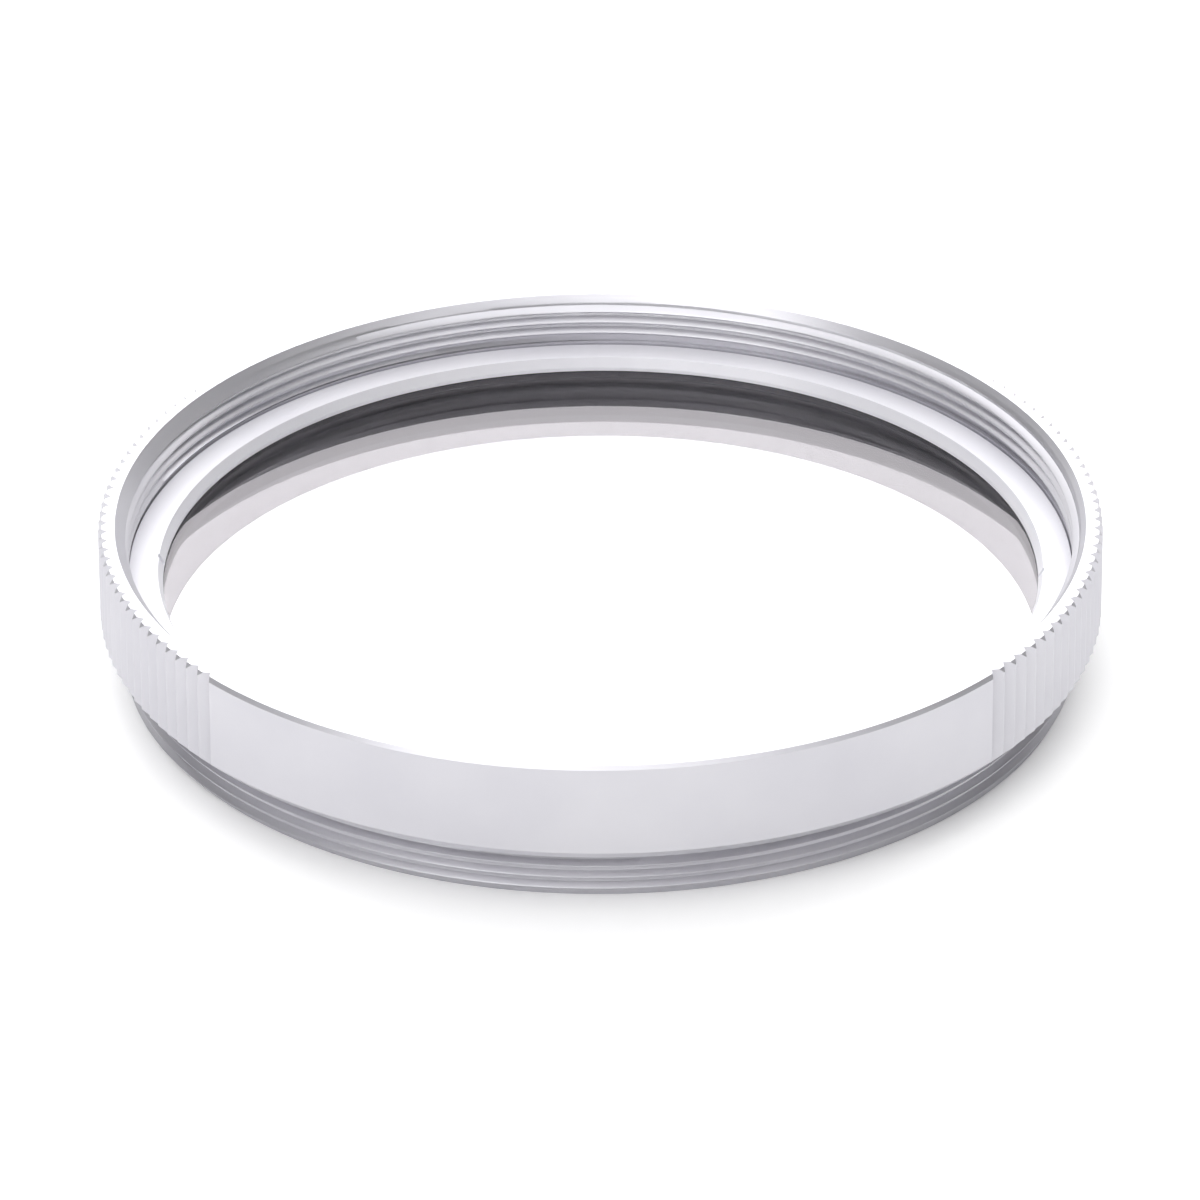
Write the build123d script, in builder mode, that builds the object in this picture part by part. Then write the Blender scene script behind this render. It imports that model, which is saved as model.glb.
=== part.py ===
from build123d import *
import math
import os

# Screw-in glass filter for a camera lens, lying on its rear end with the front thread up.
# The origin is the centre of the rear end face, +Z runs to the front, and the smooth part of
# the grip faces -Y. All sizes are in millimetres and degrees.

# Screw threads: both ends have the same nominal diameter and are plain walls here
thread_diameter = 39.0
front_thread_clearance = 0.05
rear_thread_length = 1.65
thread_lead_in = 0.2

# Frame, along the axis
undercut_length = 0.5
band_height = 4.35
front_recess_depth = 2.8
glass_stand_out = 0.1

# Frame, across the axis
band_wall = 1.0
rear_wall = 1.6
undercut_depth = 0.5
seat_width = 0.75

# Broken edges of the frame
band_bottom_bevel = 0.45
band_top_chamfer = 0.15
mouth_chamfer_width = 0.26
mouth_chamfer_depth = 0.3

# Knurled grip: straight V grooves round the band, with a smooth sector at the front
knurl_pitches_per_turn = 168
smooth_sector_pitches = 47
knurl_groove_angle = 90.0
knurl_crest_land = 0.05

# Glass
glass_thickness = 1.0
glass_clearance = 0.05

# Retaining ring, screwed into a bore a little smaller than the front thread, which it passes
ring_bore_step = 0.2
ring_sink = 0.08
ring_thickness = 0.56
ring_clearance = 0.05
ring_cone_width = 0.2
ring_inner_land = 0.15
ring_notch_width = 0.3
ring_notch_reach = 0.25
ring_notch_depth = 0.45
ring_notch_azimuth = 177.7

# Radii that follow
thread_radius = thread_diameter / 2
undercut_radius = thread_radius - undercut_depth
bore_radius = thread_radius - rear_wall
front_bore_radius = thread_radius + front_thread_clearance
mouth_radius = front_bore_radius + mouth_chamfer_width
band_radius = thread_radius + band_wall
pocket_radius = bore_radius + seat_width
glass_radius = pocket_radius - glass_clearance
ring_bore_radius = front_bore_radius - ring_bore_step
ring_radius = ring_bore_radius - ring_clearance

# Heights that follow
shoulder_height = rear_thread_length + undercut_length
rim_height = shoulder_height + band_height
recess_floor_height = rim_height - front_recess_depth
glass_top_height = recess_floor_height + glass_stand_out
seat_height = glass_top_height - glass_thickness
ring_top_height = glass_top_height + ring_thickness
ring_step_height = ring_top_height + ring_sink

# Filter frame: one turned piece. The front thread ends on a small step, and the retaining
# ring screws into the smaller bore under it
frame_outline = [
    (bore_radius, 0),
    (thread_radius - thread_lead_in, 0),
    (thread_radius, thread_lead_in),
    (thread_radius, rear_thread_length),
    (undercut_radius, rear_thread_length),
    (undercut_radius, shoulder_height),
    (band_radius - band_bottom_bevel, shoulder_height),
    (band_radius, shoulder_height + band_bottom_bevel),
    (band_radius, rim_height - band_top_chamfer),
    (band_radius - band_top_chamfer, rim_height),
    (mouth_radius, rim_height),
    (front_bore_radius, rim_height - mouth_chamfer_depth),
    (front_bore_radius, ring_step_height),
    (ring_bore_radius, ring_step_height),
    (ring_bore_radius, recess_floor_height),
    (pocket_radius, recess_floor_height),
    (pocket_radius, seat_height),
    (bore_radius, seat_height),
]

# Each groove takes one pitch less the land, and its cutter reaches a little past the band
# without touching the next one
knurl_pitch_angle = 360 / knurl_pitches_per_turn
knurl_pitch = 2 * band_radius * math.sin(math.radians(knurl_pitch_angle / 2))
groove_slope = math.tan(math.radians(knurl_groove_angle / 2))
groove_half_width = (knurl_pitch - knurl_crest_land) / 2
groove_depth = groove_half_width / groove_slope
cutter_overrun = 0.4 * knurl_crest_land
cutter_half_width = groove_half_width + cutter_overrun * groove_slope
groove_count = knurl_pitches_per_turn - smooth_sector_pitches + 1
first_groove_azimuth = -90 + smooth_sector_pitches * knurl_pitch_angle / 2
groove_outline = [
    (band_radius - groove_depth, 0),
    (band_radius + cutter_overrun, -cutter_half_width),
    (band_radius + cutter_overrun, cutter_half_width),
]

with BuildPart() as filter_frame:
    with BuildSketch(Plane.XZ):
        with BuildLine():
            Polyline(*frame_outline, close=True)
        make_face()
    revolve(axis=Axis.Z)
    with BuildSketch(Plane.XY.offset(shoulder_height)):
        with PolarLocations(
            0, groove_count, first_groove_azimuth, (groove_count - 1) * knurl_pitch_angle, endpoint=True
        ):
            Polygon(*groove_outline, align=None)
    extrude(amount=band_height, mode=Mode.SUBTRACT)

# Glass disc: lies on the seat and stands a little proud of its pocket
with BuildPart() as glass_disc:
    with BuildSketch(Plane.XY.offset(seat_height)):
        Circle(glass_radius)
    extrude(amount=glass_thickness)

# Retaining ring: rests on the glass, with a conical inner edge and two small spanner notches
# in that edge, opposite each other
ring_outline = [
    (bore_radius, glass_top_height),
    (ring_radius, glass_top_height),
    (ring_radius, ring_top_height),
    (bore_radius + ring_cone_width, ring_top_height),
    (bore_radius, glass_top_height + ring_inner_land),
]

with BuildPart() as retaining_ring:
    with BuildSketch(Plane.XZ):
        with BuildLine():
            Polyline(*ring_outline, close=True)
        make_face()
    revolve(axis=Axis.Z)
    with BuildSketch(Plane.XY.offset(ring_top_height)):
        with PolarLocations(bore_radius, 2, ring_notch_azimuth):
            Rectangle(2 * ring_notch_reach, ring_notch_width)
    extrude(amount=-ring_notch_depth, mode=Mode.SUBTRACT)

# One STEP file for each piece
os.makedirs("parts", exist_ok=True)
filter_frame.part.label = "filter_frame"
glass_disc.part.label = "glass_disc"
retaining_ring.part.label = "retaining_ring"
export_step(filter_frame.part, "parts/filter_frame.step")
export_step(glass_disc.part, "parts/glass_disc.step")
export_step(retaining_ring.part, "parts/retaining_ring.step")
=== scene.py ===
import bpy
import math
from mathutils import Matrix, Vector


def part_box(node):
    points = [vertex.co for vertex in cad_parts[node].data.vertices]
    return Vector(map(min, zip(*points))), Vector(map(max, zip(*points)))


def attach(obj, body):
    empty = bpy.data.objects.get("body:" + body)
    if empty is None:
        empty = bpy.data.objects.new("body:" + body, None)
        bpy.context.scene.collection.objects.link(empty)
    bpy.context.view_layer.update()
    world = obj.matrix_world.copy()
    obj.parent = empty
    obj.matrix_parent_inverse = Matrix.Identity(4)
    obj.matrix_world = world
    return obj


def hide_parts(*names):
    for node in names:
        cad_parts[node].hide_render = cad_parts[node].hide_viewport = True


# Screw-in glass filter for a camera lens, lying on its rear end with the front thread up.
# Sizes are worked out in millimetres and handed to Blender in metres.
MM = 0.001

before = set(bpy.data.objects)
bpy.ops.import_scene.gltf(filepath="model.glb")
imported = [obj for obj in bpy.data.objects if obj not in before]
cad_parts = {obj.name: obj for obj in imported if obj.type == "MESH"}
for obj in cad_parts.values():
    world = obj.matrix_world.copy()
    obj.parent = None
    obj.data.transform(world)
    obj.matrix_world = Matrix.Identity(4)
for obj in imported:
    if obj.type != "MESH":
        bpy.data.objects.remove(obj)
frame_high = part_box("filter_frame")[1]
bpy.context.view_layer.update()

# Overall sizes, from the box of the CAD node
band_radius = frame_high.x / MM
rim_height = frame_high.z / MM

# Walls and clearances across the axis
band_wall = 1.0
rear_wall = 1.6
front_thread_clearance = 0.05
undercut_depth = 0.5
ring_bore_step = 0.2
ring_clearance = 0.05
seat_width = 0.75
glass_clearance = 0.05
mouth_chamfer_width = 0.26

thread_radius = band_radius - band_wall
front_bore_radius = thread_radius + front_thread_clearance
bore_radius = thread_radius - rear_wall
undercut_radius = thread_radius - undercut_depth
ring_bore_radius = front_bore_radius - ring_bore_step
pocket_radius = bore_radius + seat_width
glass_radius = pocket_radius - glass_clearance
ring_radius = ring_bore_radius - ring_clearance
mouth_radius = front_bore_radius + mouth_chamfer_width

# Lengths along the axis
rear_thread_top = 1.65
undercut_length = 0.5
front_recess_depth = 2.8
glass_stand_out = 0.1
glass_thickness = 1.0
ring_thickness = 0.56
ring_sink = 0.08
mouth_chamfer_depth = 0.3

shoulder_height = rear_thread_top + undercut_length
recess_floor_height = rim_height - front_recess_depth
glass_top_height = recess_floor_height + glass_stand_out
glass_low_height = glass_top_height - glass_thickness
ring_top_height = glass_top_height + ring_thickness
ring_step_height = ring_top_height + ring_sink

# Broken edges
foot_edge = 0.06
undercut_edge = 0.05
seat_edge = 0.2
glass_edge = 0.1
ring_edge = 0.04

# Retaining ring: a cone above a short straight land, with notches in that edge
ring_cone_width = 0.2
ring_inner_land = 0.15
notch_count = 2
notch_azimuth = math.radians(177.7)
notch_reach = 0.25
notch_width = 0.3
notch_depth = 0.45

# Hair gaps keep surfaces that rest on each other from lying in one plane
rest_gap = 0.01

# Grip: straight V grooves, with a smooth sector round azimuth -90
pitches_per_turn = 168
smooth_sector_pitches = 47
groove_count = pitches_per_turn - smooth_sector_pitches + 1
pitch_angle = 2 * math.pi / pitches_per_turn
pitch_length = 2 * band_radius * math.sin(pitch_angle / 2)
crest_land = 0.05
groove_depth = (pitch_length - crest_land) / 2
root_land = 0.024
top_chamfer = 0.15
bottom_bevel = 0.45
first_groove_azimuth = math.radians(-90) + smooth_sector_pitches * pitch_angle / 2
first_column_azimuth = first_groove_azimuth - pitch_angle / 2

# Screw threads: one turn rises by one pitch, counter-clockwise seen from the front. The form is a
# list of places along one pitch, with the crest at 0, and heights as shares of the depth
thread_pitch = 0.5
thread_depth = 0.27
thread_form = (
    (-0.07, 0.93),
    (-0.03, 1.0),
    (0.03, 1.0),
    (0.07, 0.93),
    (0.38, 0.04),
    (0.5, 0.0),
    (0.62, 0.04),
)
rear_crest_height = 0.92
rear_crest_azimuth = math.radians(270)
front_crest_height = 5.42
front_crest_azimuth = math.radians(90)
lead_in_slope = 1.0
run_out_slope = 3.0

# The cones that cut the threads end a hair past the thread's root
cone_overlap = 0.01

# Edges that turn by more than this stay sharp
sharp_angle = math.radians(25)

# Columns of points in one pitch of a turned piece, and how near two points are welded
columns_per_pitch = 6
weld_distance = 0.001

MATH = "ShaderNodeMath"
WHOLE_MATH = "FunctionNodeIntegerMath"


# Nodes
def feed(tree, node, inputs):
    """Fills a node's inputs. Each takes a value, a socket or another node's first output."""
    for key, value in inputs.items():
        if isinstance(value, bpy.types.Node):
            value = value.outputs[0]
        if isinstance(value, bpy.types.NodeSocket):
            tree.links.new(value, node.inputs[key])
        else:
            node.inputs[key].default_value = value


def add(tree, kind, inputs=None, **settings):
    """Adds a node with its settings and fills its inputs."""
    node = tree.nodes.new(kind)
    for name, value in settings.items():
        setattr(node, name, value)
    feed(tree, node, inputs or {})
    return node


def linear(code):
    """A colour written as sRGB hex, in linear light with full alpha."""
    parts = [int(code[i : i + 2], 16) / 255 for i in (0, 2, 4)]
    return [p / 12.92 if p <= 0.04045 else ((p + 0.055) / 1.055) ** 2.4 for p in parts] + [1.0]


def new_material(name):
    """A material with an empty node tree."""
    material = bpy.data.materials.new(name)
    material.use_nodes = True
    material.node_tree.nodes.clear()
    return material, material.node_tree


# Materials
def satin_aluminium(name, pale, dark, roughness, milky):
    """Aluminium, turned, finely blasted and silver anodised: a grain of about a tenth of a
    millimetre that the eye reads as satin, with hardly any change of tone over the piece. The
    milky share is the light that the clear oxide layer scatters."""
    material, tree = new_material(name)
    place = add(tree, "ShaderNodeTexCoord").outputs["Object"]
    grain_size = 0.12 * MM
    cloud_size = 6 * MM
    grain = add(tree, "ShaderNodeTexNoise", {"Vector": place, "Scale": 1 / grain_size, "Detail": 2})
    cloud = add(tree, "ShaderNodeTexNoise", {"Vector": place, "Scale": 1 / cloud_size, "Detail": 3})
    tone = add(tree, "ShaderNodeValToRGB", {0: cloud.outputs["Fac"]})
    tone.color_ramp.elements[0].position = 0.3
    tone.color_ramp.elements[0].color = linear(dark)
    tone.color_ramp.elements[1].position = 0.7
    tone.color_ramp.elements[1].color = linear(pale)
    rough = add(
        tree,
        "ShaderNodeMapRange",
        {"Value": grain.outputs["Fac"], "To Min": roughness - 0.03, "To Max": roughness + 0.03},
    )
    bump = add(
        tree, "ShaderNodeBump", {"Strength": 0.5, "Distance": 0.006 * MM, "Height": grain.outputs["Fac"]}
    )
    shader = add(
        tree,
        "ShaderNodeBsdfPrincipled",
        {"Base Color": tone, "Metallic": 1.0, "Roughness": rough, "Normal": bump},
    )
    layer = add(tree, "ShaderNodeBsdfDiffuse", {"Color": tone, "Normal": bump})
    both = add(tree, "ShaderNodeMixShader", {"Fac": milky, 1: shader, 2: layer})
    add(tree, "ShaderNodeOutputMaterial", {"Surface": both})
    return material


def bore_paint():
    """Matt black paint brushed into the bore: it swallows stray light, so it shows only a
    faint sheen where the light grazes it."""
    material, tree = new_material("Black paint, brushed into the bore")
    place = add(tree, "ShaderNodeTexCoord").outputs["Object"]
    speckle_size = 0.15 * MM
    speckle = add(tree, "ShaderNodeTexNoise", {"Vector": place, "Scale": 1 / speckle_size, "Detail": 3})
    tone = add(tree, "ShaderNodeValToRGB", {0: speckle.outputs["Fac"]})
    tone.color_ramp.elements[0].position = 0.35
    tone.color_ramp.elements[0].color = linear("0e0e10")
    tone.color_ramp.elements[1].position = 0.75
    tone.color_ramp.elements[1].color = linear("1c1c1f")
    bump = add(
        tree, "ShaderNodeBump", {"Strength": 0.4, "Distance": 0.01 * MM, "Height": speckle.outputs["Fac"]}
    )
    shader = add(
        tree,
        "ShaderNodeBsdfPrincipled",
        {"Base Color": tone, "Roughness": 0.6, "Specular IOR Level": 0.15, "Normal": bump},
    )
    add(tree, "ShaderNodeOutputMaterial", {"Surface": shader})
    return material


def coated_glass():
    """Optical glass, polished and vapour coated: clear, with reflections that lean to violet.
    Lamps shine through it, so what lies under it isn't in its shadow."""
    material, tree = new_material("Optical glass, polished and coated")
    place = add(tree, "ShaderNodeTexCoord").outputs["Object"]
    coat_size = 9 * MM
    coat = add(tree, "ShaderNodeTexNoise", {"Vector": place, "Scale": 1 / coat_size, "Detail": 1})
    sheen = add(tree, "ShaderNodeValToRGB", {0: coat.outputs["Fac"]})
    sheen.color_ramp.elements[0].color = linear("604467")
    sheen.color_ramp.elements[1].color = linear("725579")
    shader = add(
        tree,
        "ShaderNodeBsdfPrincipled",
        {
            "Base Color": linear("ffffff"),
            "Roughness": 0.0,
            "IOR": 1.52,
            "Transmission Weight": 1.0,
            "Specular Tint": sheen,
        },
    )
    clear = add(tree, "ShaderNodeBsdfTransparent", {"Color": linear("f8f8f8")})
    ray = add(tree, "ShaderNodeLightPath")
    mixed = add(
        tree, "ShaderNodeMixShader", {"Fac": ray.outputs["Is Shadow Ray"], 1: shader, 2: clear}
    )
    add(tree, "ShaderNodeOutputMaterial", {"Surface": mixed})
    return material


# Turned pieces
def plain(radius, height):
    """A point of a section that stays where it is drawn, all the way round."""
    return {
        "place": (radius, 0, height),
        "span": (height, height, 0),
        "low_end": (radius, 0, 1),
        "high_end": (radius, 0, 0),
    }


def thread_points(root, side, low_end, high_end, crest, azimuth):
    """Points of a thread's section, from the low end up. side is 1 for a male thread and -1 for a
    female one. Each end is (radius, height, slope of the cone that cuts the thread there). A little
    more than one pitch is drawn below the low end, because every point climbs by one pitch."""
    spare = 0.2 * thread_pitch
    low, high = low_end[1], high_end[1]
    turns = ((azimuth - first_column_azimuth) / (2 * math.pi)) % 1
    first_crest = crest - turns * thread_pitch
    lowest = math.floor((low - first_crest) / thread_pitch) - 2
    highest = math.ceil((high - first_crest) / thread_pitch) + 1
    points = []
    for number in range(lowest, highest + 1):
        for along, share in thread_form:
            height = first_crest + (number + along) * thread_pitch
            if low - thread_pitch - spare < height < high + spare:
                points.append(
                    {
                        "place": (root + side * share * thread_depth, 0, height),
                        "span": (low, high, thread_pitch),
                        "low_end": (low_end[0], low_end[2], side),
                        "high_end": (high_end[0], high_end[2], 0),
                    }
                )
    return points


def section_object(name, points):
    """The section as a string of points that carry what the tree needs to know of them."""
    mesh = bpy.data.meshes.new(name)
    places = [Vector(p["place"]) * MM for p in points]
    mesh.from_pydata(places, [(i, i + 1) for i in range(len(points) - 1)], [])
    for key, scale in (
        ("span", (MM, MM, MM)),
        ("low_end", (MM, 1, 1)),
        ("high_end", (MM, 1, 1)),
    ):
        layer = mesh.attributes.new(key, "FLOAT_VECTOR", "POINT")
        for item, point in zip(layer.data, points):
            item.vector = [a * b for a, b in zip(point[key], scale)]
    piece = bpy.data.objects.new(name, mesh)
    bpy.context.scene.collection.objects.link(piece)
    return piece


def new_tree(name, inputs):
    """A node tree with these named inputs and one output, and the sockets that the inputs give."""
    tree = bpy.data.node_groups.new(name, "GeometryNodeTree")
    tree.interface.new_socket("Geometry", in_out="OUTPUT", socket_type="NodeSocketGeometry")
    for label, kind in inputs:
        tree.interface.new_socket(label, in_out="INPUT", socket_type=kind)
    return tree, add(tree, "NodeGroupInput").outputs


def column_share(tree, given, place):
    """Where in its pitch a column stands, from 0 to 1. The six columns of a pitch stand at both
    edges of the land, of the shoulder and of the root."""
    crest = given["Crest Share"]
    shoulder = given["Shoulder Share"]
    root = given["Root Share"]
    share = add(tree, "GeometryNodeIndexSwitch", data_type="FLOAT")
    items_at_first = len(share.index_switch_items)
    for _ in range(columns_per_pitch - items_at_first):
        share.index_switch_items.new()
    feed(
        tree,
        share,
        {
            0: place,
            1: crest,
            2: add(tree, MATH, {0: 0.5, 1: shoulder}, operation="SUBTRACT"),
            3: add(tree, MATH, {0: 0.5, 1: root}, operation="SUBTRACT"),
            4: add(tree, MATH, {0: 0.5, 1: root}, operation="ADD"),
            5: add(tree, MATH, {0: 0.5, 1: shoulder}, operation="ADD"),
            6: add(tree, MATH, {0: 1.0, 1: crest}, operation="SUBTRACT"),
        },
    )
    return share


def row_values(tree, given, row):
    """What the section's point of this row says, by name: the three parts of each value."""
    told = {}
    for key in ("position", "span", "low_end", "high_end"):
        if key == "position":
            value = add(tree, "GeometryNodeInputPosition")
        else:
            value = add(tree, "GeometryNodeInputNamedAttribute", {"Name": key}, data_type="FLOAT_VECTOR")
        sampled = add(
            tree,
            "GeometryNodeSampleIndex",
            {"Geometry": given["Geometry"], "Index": row, "Value": value},
            data_type="FLOAT_VECTOR",
        )
        told[key] = add(tree, "ShaderNodeSeparateXYZ", {0: sampled}).outputs
    return told


def cone_cut(tree, away, slope, end_radius, side):
    """Signed radius of a thread's end cone at this distance from the end."""
    start = add(tree, MATH, {0: side, 1: end_radius}, operation="MULTIPLY")
    return add(tree, MATH, {0: away, 1: slope, 2: start}, operation="MULTIPLY_ADD")


def uncut_radius(tree, told, height):
    """The section's radius at this height, cut by the cones at the thread's ends."""
    low, high = told["span"][0], told["span"][1]
    side = told["low_end"][2]
    above = add(tree, MATH, {0: height, 1: low}, operation="SUBTRACT")
    below = add(tree, MATH, {0: high, 1: height}, operation="SUBTRACT")
    low_cone = cone_cut(tree, above, told["low_end"][1], told["low_end"][0], side)
    high_cone = cone_cut(tree, below, told["high_end"][1], told["high_end"][0], side)
    signed = add(tree, MATH, {0: side, 1: told["position"][0]}, operation="MULTIPLY")
    signed = add(tree, MATH, {0: signed, 1: low_cone}, operation="MINIMUM")
    signed = add(tree, MATH, {0: signed, 1: high_cone}, operation="MINIMUM")
    return add(tree, MATH, {0: side, 1: signed}, operation="MULTIPLY")


def groove_radius(tree, given, pitch, share):
    """Radius of the grooved band at this place in a pitch. Pitches past the last groove have the
    outer radius all along."""
    off_centre = add(tree, MATH, {0: share, 1: 0.5}, operation="SUBTRACT")
    off_centre = add(tree, MATH, {0: off_centre}, operation="ABSOLUTE")
    half = add(tree, MATH, {0: 0.5, 1: given["Crest Share"]}, operation="SUBTRACT")
    inward = add(tree, MATH, {0: half, 1: off_centre}, operation="SUBTRACT")
    full = add(tree, MATH, {0: half, 1: given["Root Share"]}, operation="SUBTRACT")
    flank = add(tree, MATH, {0: inward, 1: full}, operation="DIVIDE")
    flank = add(tree, MATH, {0: flank, 1: 0.0}, operation="MAXIMUM")
    flank = add(tree, MATH, {0: flank, 1: 1.0}, operation="MINIMUM")
    grooved = add(
        tree, "FunctionNodeCompare", {2: pitch, 3: given["Grooves"]}, data_type="INT", operation="LESS_THAN"
    )
    depth = add(tree, MATH, {0: given["Groove Depth"], 1: flank}, operation="MULTIPLY")
    depth = add(tree, MATH, {0: depth, 1: grooved}, operation="MULTIPLY")
    return add(tree, MATH, {0: given["Outer Radius"], 1: depth}, operation="SUBTRACT")


def mark_painted(tree, given, grid, index, rows):
    """Marks the faces of the painted rows while the grid is still in order."""
    strips = add(tree, WHOLE_MATH, {0: rows, 1: 1}, operation="SUBTRACT")
    strip = add(tree, WHOLE_MATH, {0: index, 1: strips}, operation="MODULO")
    painted = add(
        tree,
        "FunctionNodeCompare",
        {2: strip, 3: given["First Painted Row"]},
        data_type="INT",
        operation="GREATER_EQUAL",
    )
    return add(
        tree,
        "GeometryNodeStoreNamedAttribute",
        {"Geometry": grid, "Name": "painted", "Value": painted},
        data_type="BOOLEAN",
        domain="FACE",
    )


def turned_piece_tree():
    """Turns a section round Z. Straight grooves cut what lies outside them, and points of a
    thread climb with the turn and are cut off by a cone at each end."""
    tree, given = new_tree(
        "Turned piece",
        (
            ("Geometry", "NodeSocketGeometry"),
            ("Pitches Per Turn", "NodeSocketInt"),
            ("Grooves", "NodeSocketInt"),
            ("Start Angle", "NodeSocketFloat"),
            ("Outer Radius", "NodeSocketFloat"),
            ("Groove Depth", "NodeSocketFloat"),
            ("Crest Share", "NodeSocketFloat"),
            ("Shoulder Share", "NodeSocketFloat"),
            ("Root Share", "NodeSocketFloat"),
            ("First Painted Row", "NodeSocketInt"),
            ("Metal", "NodeSocketMaterial"),
            ("Paint", "NodeSocketMaterial"),
        ),
    )
    pitches = given["Pitches Per Turn"]

    # A grid with a row for each point of the section, and one more column to close the turn
    size = add(tree, "GeometryNodeAttributeDomainSize", {0: given["Geometry"]}, component="MESH")
    rows = size.outputs["Point Count"]
    columns = add(tree, WHOLE_MATH, {0: pitches, 1: columns_per_pitch, 2: 1}, operation="MULTIPLY_ADD")
    grid = add(tree, "GeometryNodeMeshGrid", {"Vertices X": columns, "Vertices Y": rows})
    index = add(tree, "GeometryNodeInputIndex")
    row = add(tree, WHOLE_MATH, {0: index, 1: rows}, operation="MODULO")
    column = add(tree, WHOLE_MATH, {0: index, 1: rows}, operation="DIVIDE_FLOOR")
    pitch = add(tree, WHOLE_MATH, {0: column, 1: columns_per_pitch}, operation="DIVIDE_FLOOR")
    place = add(tree, WHOLE_MATH, {0: column, 1: columns_per_pitch}, operation="MODULO")

    # The turn so far, from 0 to 1
    share = column_share(tree, given, place)
    done = add(tree, MATH, {0: pitch, 1: share}, operation="ADD")
    turn = add(tree, MATH, {0: done, 1: pitches}, operation="DIVIDE")
    angle = add(tree, MATH, {0: turn, 1: 2 * math.pi, 2: given["Start Angle"]}, operation="MULTIPLY_ADD")

    # Height: climbs with the turn and stops at the ends
    told = row_values(tree, given, row)
    low, high, lead = told["span"]
    height = add(tree, MATH, {0: turn, 1: lead, 2: told["position"][2]}, operation="MULTIPLY_ADD")
    height = add(tree, MATH, {0: height, 1: low}, operation="MAXIMUM")
    height = add(tree, MATH, {0: height, 1: high}, operation="MINIMUM")

    # Radius: cut by the cones at the ends, then by the groove
    uncut = uncut_radius(tree, told, height)
    radius = add(tree, MATH, {0: uncut, 1: groove_radius(tree, given, pitch, share)}, operation="MINIMUM")
    cosine = add(tree, MATH, {0: angle}, operation="COSINE")
    sine = add(tree, MATH, {0: angle}, operation="SINE")
    x = add(tree, MATH, {0: radius, 1: cosine}, operation="MULTIPLY")
    y = add(tree, MATH, {0: radius, 1: sine}, operation="MULTIPLY")
    point = add(tree, "ShaderNodeCombineXYZ", {0: x, 1: y, 2: height})

    # Mesh: each point in its place, doubles welded, materials given
    marked = mark_painted(tree, given, grid, index, rows)
    placed = add(tree, "GeometryNodeSetPosition", {"Geometry": marked, "Position": point})
    welded = add(tree, "GeometryNodeMergeByDistance", {"Geometry": placed, "Distance": weld_distance * MM})
    split = add(tree, "GeometryNodeTriangulate", {"Mesh": welded}, quad_method="LONGEST_DIAGONAL")
    real = add(tree, "GeometryNodeRealizeInstances", {"Geometry": split})
    metal = add(tree, "GeometryNodeSetMaterial", {"Geometry": real, "Material": given["Metal"]})
    mark = add(tree, "GeometryNodeInputNamedAttribute", {"Name": "painted"}, data_type="BOOLEAN")
    both = add(
        tree,
        "GeometryNodeSetMaterial",
        {"Geometry": metal, "Selection": mark, "Material": given["Paint"]},
    )
    clean = add(tree, "GeometryNodeRemoveAttribute", {"Geometry": both, "Name": "painted"})
    add(tree, "NodeGroupOutput", {0: clean})
    return tree


def notches_tree():
    """Cuts notches of one size, evenly spaced round Z, into the top of a ring."""
    tree, given = new_tree(
        "Spanner notches",
        (
            ("Geometry", "NodeSocketGeometry"),
            ("Notches", "NodeSocketInt"),
            ("Azimuth", "NodeSocketFloat"),
            ("Middle Radius", "NodeSocketFloat"),
            ("Top Height", "NodeSocketFloat"),
            ("Cutter Size", "NodeSocketVector"),
            ("Metal", "NodeSocketMaterial"),
        ),
    )
    cutter = add(tree, "GeometryNodeMeshCube", {"Size": given["Cutter Size"]})
    points = add(tree, "GeometryNodePoints", {"Count": given["Notches"]})
    step = add(tree, MATH, {0: 2 * math.pi, 1: given["Notches"]}, operation="DIVIDE")
    index = add(tree, "GeometryNodeInputIndex")
    angle = add(tree, MATH, {0: index, 1: step, 2: given["Azimuth"]}, operation="MULTIPLY_ADD")
    cosine = add(tree, MATH, {0: angle}, operation="COSINE")
    sine = add(tree, MATH, {0: angle}, operation="SINE")
    x = add(tree, MATH, {0: cosine, 1: given["Middle Radius"]}, operation="MULTIPLY")
    y = add(tree, MATH, {0: sine, 1: given["Middle Radius"]}, operation="MULTIPLY")
    place = add(tree, "ShaderNodeCombineXYZ", {0: x, 1: y, 2: given["Top Height"]})
    spread = add(tree, "GeometryNodeSetPosition", {"Geometry": points, "Position": place})
    turn = add(tree, "ShaderNodeCombineXYZ", {2: angle})
    cutters = add(
        tree, "GeometryNodeInstanceOnPoints", {"Points": spread, "Instance": cutter, "Rotation": turn}
    )
    cut = add(
        tree,
        "GeometryNodeMeshBoolean",
        {"Mesh 1": given["Geometry"], "Mesh 2": cutters},
        operation="DIFFERENCE",
        solver="EXACT",
    )
    real = add(tree, "GeometryNodeRealizeInstances", {"Geometry": cut})
    made = add(tree, "GeometryNodeSetMaterial", {"Geometry": real, "Material": given["Metal"]})
    add(tree, "NodeGroupOutput", {0: made})
    return tree


def give(piece, tree, values):
    """Puts the tree on the piece as a modifier with these inputs."""
    modifier = piece.modifiers.new(tree.name, "NODES")
    modifier.node_group = tree
    for item in tree.interface.items_tree:
        if item.in_out == "INPUT" and item.name in values:
            modifier[item.identifier] = values[item.name]


def settle(piece):
    """Replaces the modifiers by the mesh they give and smooths all but the sharp edges."""
    graph = bpy.context.evaluated_depsgraph_get()
    mesh = bpy.data.meshes.new_from_object(piece.evaluated_get(graph))
    piece.modifiers.clear()
    piece.data = mesh
    mesh.shade_smooth()
    mesh.set_sharp_from_angle(angle=sharp_angle)


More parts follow.
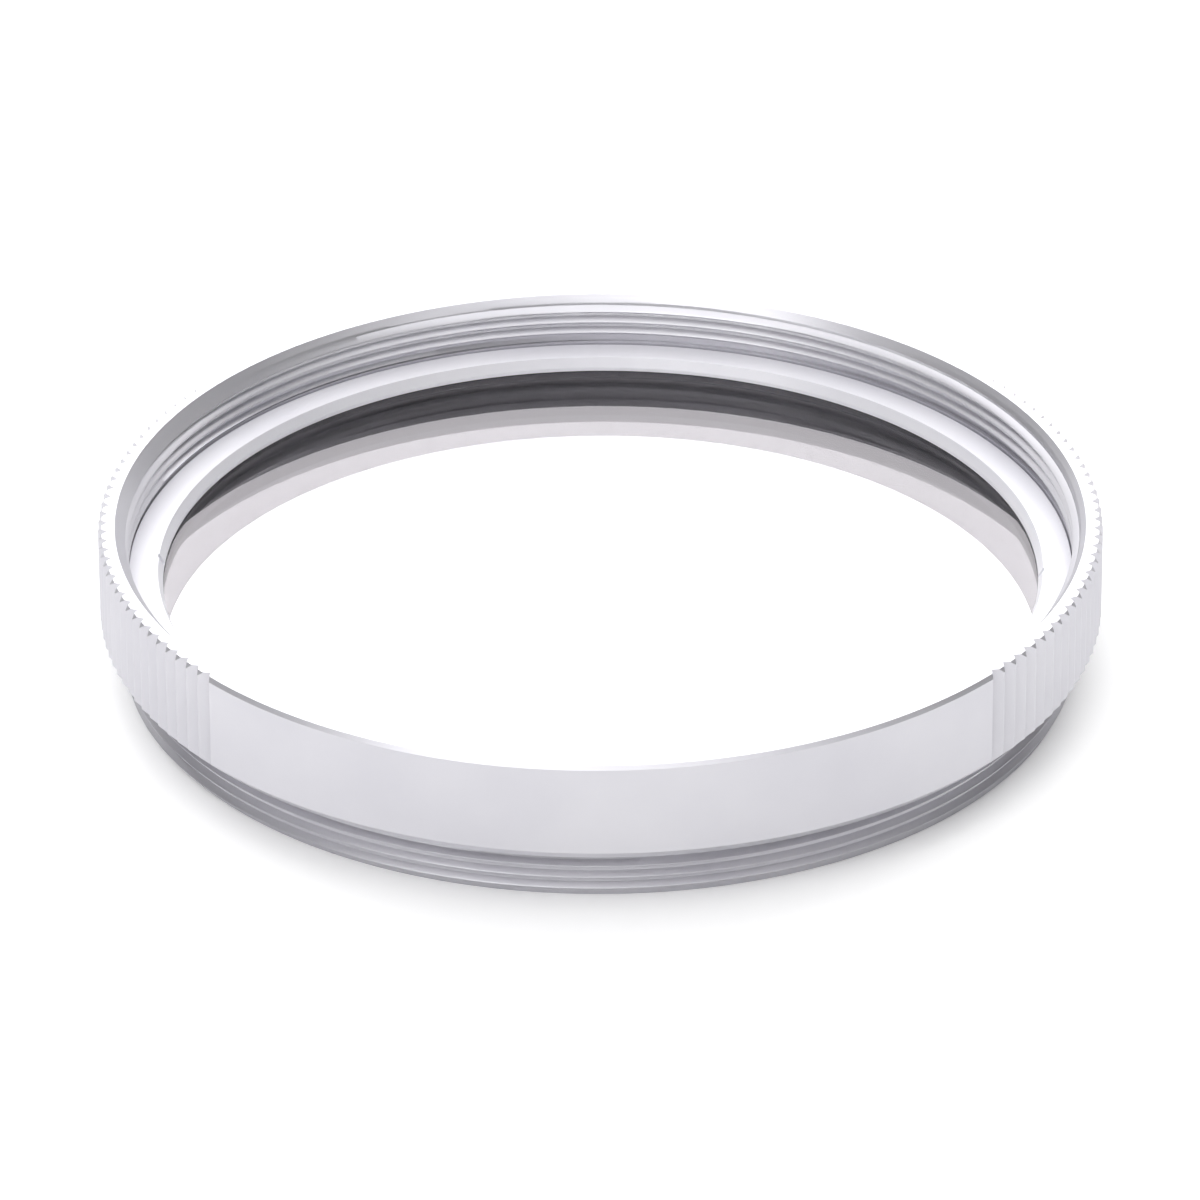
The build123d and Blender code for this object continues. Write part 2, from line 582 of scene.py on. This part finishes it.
# Filter frame
def frame_section():
    """The section of the filter frame, from the foot's inner edge outward, up, in and down, and
    the number of the first painted strip."""
    rear_root = thread_radius - thread_depth
    valley = band_radius - groove_depth
    bevel_top = shoulder_height + bottom_bevel
    seat_height = glass_low_height - rest_gap
    points = [plain(bore_radius, foot_edge), plain(bore_radius + foot_edge, 0)]
    points += thread_points(
        rear_root,
        1,
        (rear_root - cone_overlap, 0, lead_in_slope),
        (rear_root - cone_overlap, rear_thread_top, run_out_slope),
        rear_crest_height,
        rear_crest_azimuth,
    )
    points += [
        plain(undercut_radius + undercut_edge, rear_thread_top),
        plain(undercut_radius, rear_thread_top + undercut_edge),
        plain(undercut_radius, shoulder_height - undercut_edge),
        plain(undercut_radius + undercut_edge, shoulder_height),
        plain(band_radius - bottom_bevel, shoulder_height),
        plain(valley, bevel_top - groove_depth),
        plain(band_radius - top_chamfer, bevel_top - top_chamfer),
        plain(band_radius, bevel_top),
        plain(band_radius, rim_height - top_chamfer),
        plain(band_radius - top_chamfer, rim_height),
        plain(mouth_radius, rim_height),
    ]
    points += reversed(
        thread_points(
            front_bore_radius,
            -1,
            (front_bore_radius + cone_overlap, ring_step_height, run_out_slope),
            (mouth_radius, rim_height, mouth_chamfer_width / mouth_chamfer_depth),
            front_crest_height,
            front_crest_azimuth,
        )
    )
    points += [
        plain(ring_bore_radius, ring_step_height),
        plain(ring_bore_radius, recess_floor_height),
    ]
    first_painted = len(points) - 1
    points += [
        plain(pocket_radius, recess_floor_height),
        plain(pocket_radius, seat_height),
        plain(bore_radius + seat_edge, seat_height),
        plain(bore_radius, seat_height - seat_edge),
        plain(bore_radius, foot_edge),
    ]
    return points, first_painted


def build_filter_frame(tree, metal, paint):
    """One turned piece. The shoulder columns stand where a groove is as deep as the top chamfer."""
    points, first_painted = frame_section()
    piece = section_object("frame_ring", points)
    give(
        piece,
        tree,
        {
            "Pitches Per Turn": pitches_per_turn,
            "Grooves": groove_count,
            "Start Angle": first_column_azimuth,
            "Outer Radius": band_radius * MM,
            "Groove Depth": groove_depth * MM,
            "Crest Share": crest_land / 2 / pitch_length,
            "Shoulder Share": 0.5 - (crest_land / 2 + top_chamfer) / pitch_length,
            "Root Share": root_land / 2 / pitch_length,
            "First Painted Row": first_painted,
            "Metal": metal,
            "Paint": paint,
        },
    )
    settle(piece)
    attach(piece, "root")
    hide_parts("filter_frame")


# Glass and retaining ring
def even_pitches(count, radius):
    """Inputs of the turned piece for a round one: evenly spaced columns, no grooves, no paint."""
    beyond_all_rows = 1000
    return {
        "Pitches Per Turn": count,
        "Grooves": 0,
        "Start Angle": 0.0,
        "Outer Radius": radius * MM,
        "Groove Depth": 0.0,
        "Crest Share": 1 / (2 * columns_per_pitch),
        "Shoulder Share": 3 / (2 * columns_per_pitch),
        "Root Share": 1 / (2 * columns_per_pitch),
        "First Painted Row": beyond_all_rows,
    }


def build_glass(tree, glass):
    """A flat disc with bevelled edges that lies on the seat."""
    pitches = 64
    points = [
        plain(0, glass_low_height),
        plain(glass_radius - glass_edge, glass_low_height),
        plain(glass_radius, glass_low_height + glass_edge),
        plain(glass_radius, glass_top_height - glass_edge),
        plain(glass_radius - glass_edge, glass_top_height),
        plain(0, glass_top_height),
    ]
    piece = section_object("glass_pane", points)
    give(piece, tree, {**even_pitches(pitches, glass_radius), "Metal": glass, "Paint": glass})
    settle(piece)
    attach(piece, "root")
    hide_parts("glass_disc")


def build_retaining_ring(tree, notches, metal):
    """A flat ring with a conical inner edge and two spanner notches in it."""
    pitches = 84
    low = glass_top_height + rest_gap
    top = ring_top_height
    points = [
        plain(bore_radius, low),
        plain(ring_radius - ring_edge, low),
        plain(ring_radius, low + ring_edge),
        plain(ring_radius, top - ring_edge),
        plain(ring_radius - ring_edge, top),
        plain(bore_radius + ring_cone_width, top),
        plain(bore_radius, low + ring_inner_land),
        plain(bore_radius, low),
    ]
    piece = section_object("ledge_ring", points)
    give(piece, tree, {**even_pitches(pitches, ring_radius), "Metal": metal, "Paint": metal})
    give(
        piece,
        notches,
        {
            "Notches": notch_count,
            "Azimuth": notch_azimuth,
            "Middle Radius": bore_radius * MM,
            "Top Height": top * MM,
            "Cutter Size": (2 * notch_reach * MM, notch_width * MM, 2 * notch_depth * MM),
            "Metal": metal,
        },
    )
    settle(piece)
    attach(piece, "root")
    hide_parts("retaining_ring")


# Stage
def build_floor():
    """Pale matt table. Seen by the camera and through the glass it is lifted a little towards
    white, and the shadow stays."""
    lift = 0.12
    half = 2.0
    material, tree = new_material("White table, matt")
    ray = add(tree, "ShaderNodeLightPath").outputs
    seen = add(tree, MATH, {0: ray["Is Camera Ray"], 1: ray["Is Transmission Ray"]}, operation="MAXIMUM")
    strength = add(tree, MATH, {0: seen, 1: lift}, operation="MULTIPLY")
    matt = add(tree, "ShaderNodeBsdfDiffuse", {"Color": linear("fafafa")})
    glow = add(tree, "ShaderNodeEmission", {"Color": linear("ffffff"), "Strength": strength})
    both = add(tree, "ShaderNodeAddShader", {0: matt, 1: glow})
    add(tree, "ShaderNodeOutputMaterial", {"Surface": both})
    mesh = bpy.data.meshes.new("table")
    corners = [(-half, -half, 0), (half, -half, 0), (half, half, 0), (-half, half, 0)]
    mesh.from_pydata(corners, [], [(0, 1, 2, 3)])
    mesh.materials.append(material)
    table = bpy.data.objects.new("table", mesh)
    bpy.context.scene.collection.objects.link(table)


def build_world():
    """White backdrop for the camera, and a faint even light for all else."""
    faint = 0.02
    world = bpy.data.worlds.new("Light tent")
    world.use_nodes = True
    bpy.context.scene.world = world
    tree = world.node_tree
    tree.nodes.clear()
    ray = add(tree, "ShaderNodeLightPath").outputs
    tent = add(tree, "ShaderNodeBackground", {"Color": linear("ffffff"), "Strength": faint})
    white = add(tree, "ShaderNodeBackground", {"Color": linear("ffffff"), "Strength": 1.0})
    mixed = add(tree, "ShaderNodeMixShader", {"Fac": ray["Is Camera Ray"], 1: tent, 2: white})
    add(tree, "ShaderNodeOutputWorld", {"Surface": mixed})


# Soft panels round the filter: name, azimuth and elevation in degrees, width and height in
# metres, brightness. Azimuth 90 is behind the filter, seen from the camera. The glass mirrors
# the strip.
panel_distance = 0.6
panels = (
    ("panel above", 90, 89.9, 0.9, 0.9, 1.68),
    ("strip behind", 90, 29, 0.4, 0.1, 5.7),
    ("panel behind", 90, 46, 0.34, 0.2, 2.4),
    ("panel behind left", 126, 40, 0.3, 0.28, 3.0),
    ("panel behind right", 54, 40, 0.3, 0.28, 2.7),
    ("panel low behind", 90, 10, 0.95, 0.2, 1.5),
    ("panel front left", 234, 40, 0.3, 0.28, 3.2),
    ("panel front", 270, 40, 0.3, 0.28, 2.1),
    ("panel low front", 255, 14, 0.6, 0.25, 0.24),
)


def add_panel(name, azimuth, elevation, width, height, radiance):
    """A soft lamp that faces the filter. The power follows from how bright the panel looks, with
    white paper at 1."""
    a, e = math.radians(azimuth), math.radians(elevation)
    away = Vector((math.cos(e) * math.cos(a), math.cos(e) * math.sin(a), math.sin(e)))
    data = bpy.data.lights.new(name, "AREA")
    data.shape = "RECTANGLE"
    data.size = width
    data.size_y = height
    data.energy = radiance * math.pi * width * height
    lamp = bpy.data.objects.new(name, data)
    lamp.location = away * panel_distance
    lamp.rotation_euler = away.to_track_quat("Z", "Y").to_euler()
    bpy.context.scene.collection.objects.link(lamp)


def build_camera():
    """A long lens that looks down on the filter from the front, a little turned."""
    elevation = math.radians(29.03)
    roll = math.radians(-0.23)
    aim = Vector((-0.029, 0, 2.60)) * MM
    distance = 20 * band_radius * MM
    ahead = Vector((0, math.cos(elevation), -math.sin(elevation)))
    right = Vector((1, 0, 0))
    up = right.cross(ahead)
    turned_right = math.cos(roll) * right + math.sin(roll) * up
    turned_up = math.cos(roll) * up - math.sin(roll) * right
    data = bpy.data.cameras.new("camera")
    data.lens = 300
    data.sensor_width = 36
    data.clip_start = 0.01
    data.clip_end = 20
    camera = bpy.data.objects.new("camera", data)
    turn = Matrix((turned_right, turned_up, -ahead)).transposed().to_4x4()
    camera.matrix_world = Matrix.Translation(aim - distance * ahead) @ turn
    bpy.context.scene.collection.objects.link(camera)
    bpy.context.scene.camera = camera


# Build
turned = turned_piece_tree()
notches = notches_tree()
frame_metal = satin_aluminium("Aluminium, blasted and silver anodised", "d7d6db", "d0cfd5", 0.40, 0.32)
ring_metal = satin_aluminium("Aluminium, turned and silver anodised", "edecf1", "e6e5eb", 0.50, 0.75)
build_filter_frame(turned, frame_metal, bore_paint())
build_glass(turned, coated_glass())
build_retaining_ring(turned, notches, ring_metal)
build_floor()
build_world()
for panel in panels:
    add_panel(*panel)
build_camera()

bpy.context.scene.view_settings.view_transform = "Standard"
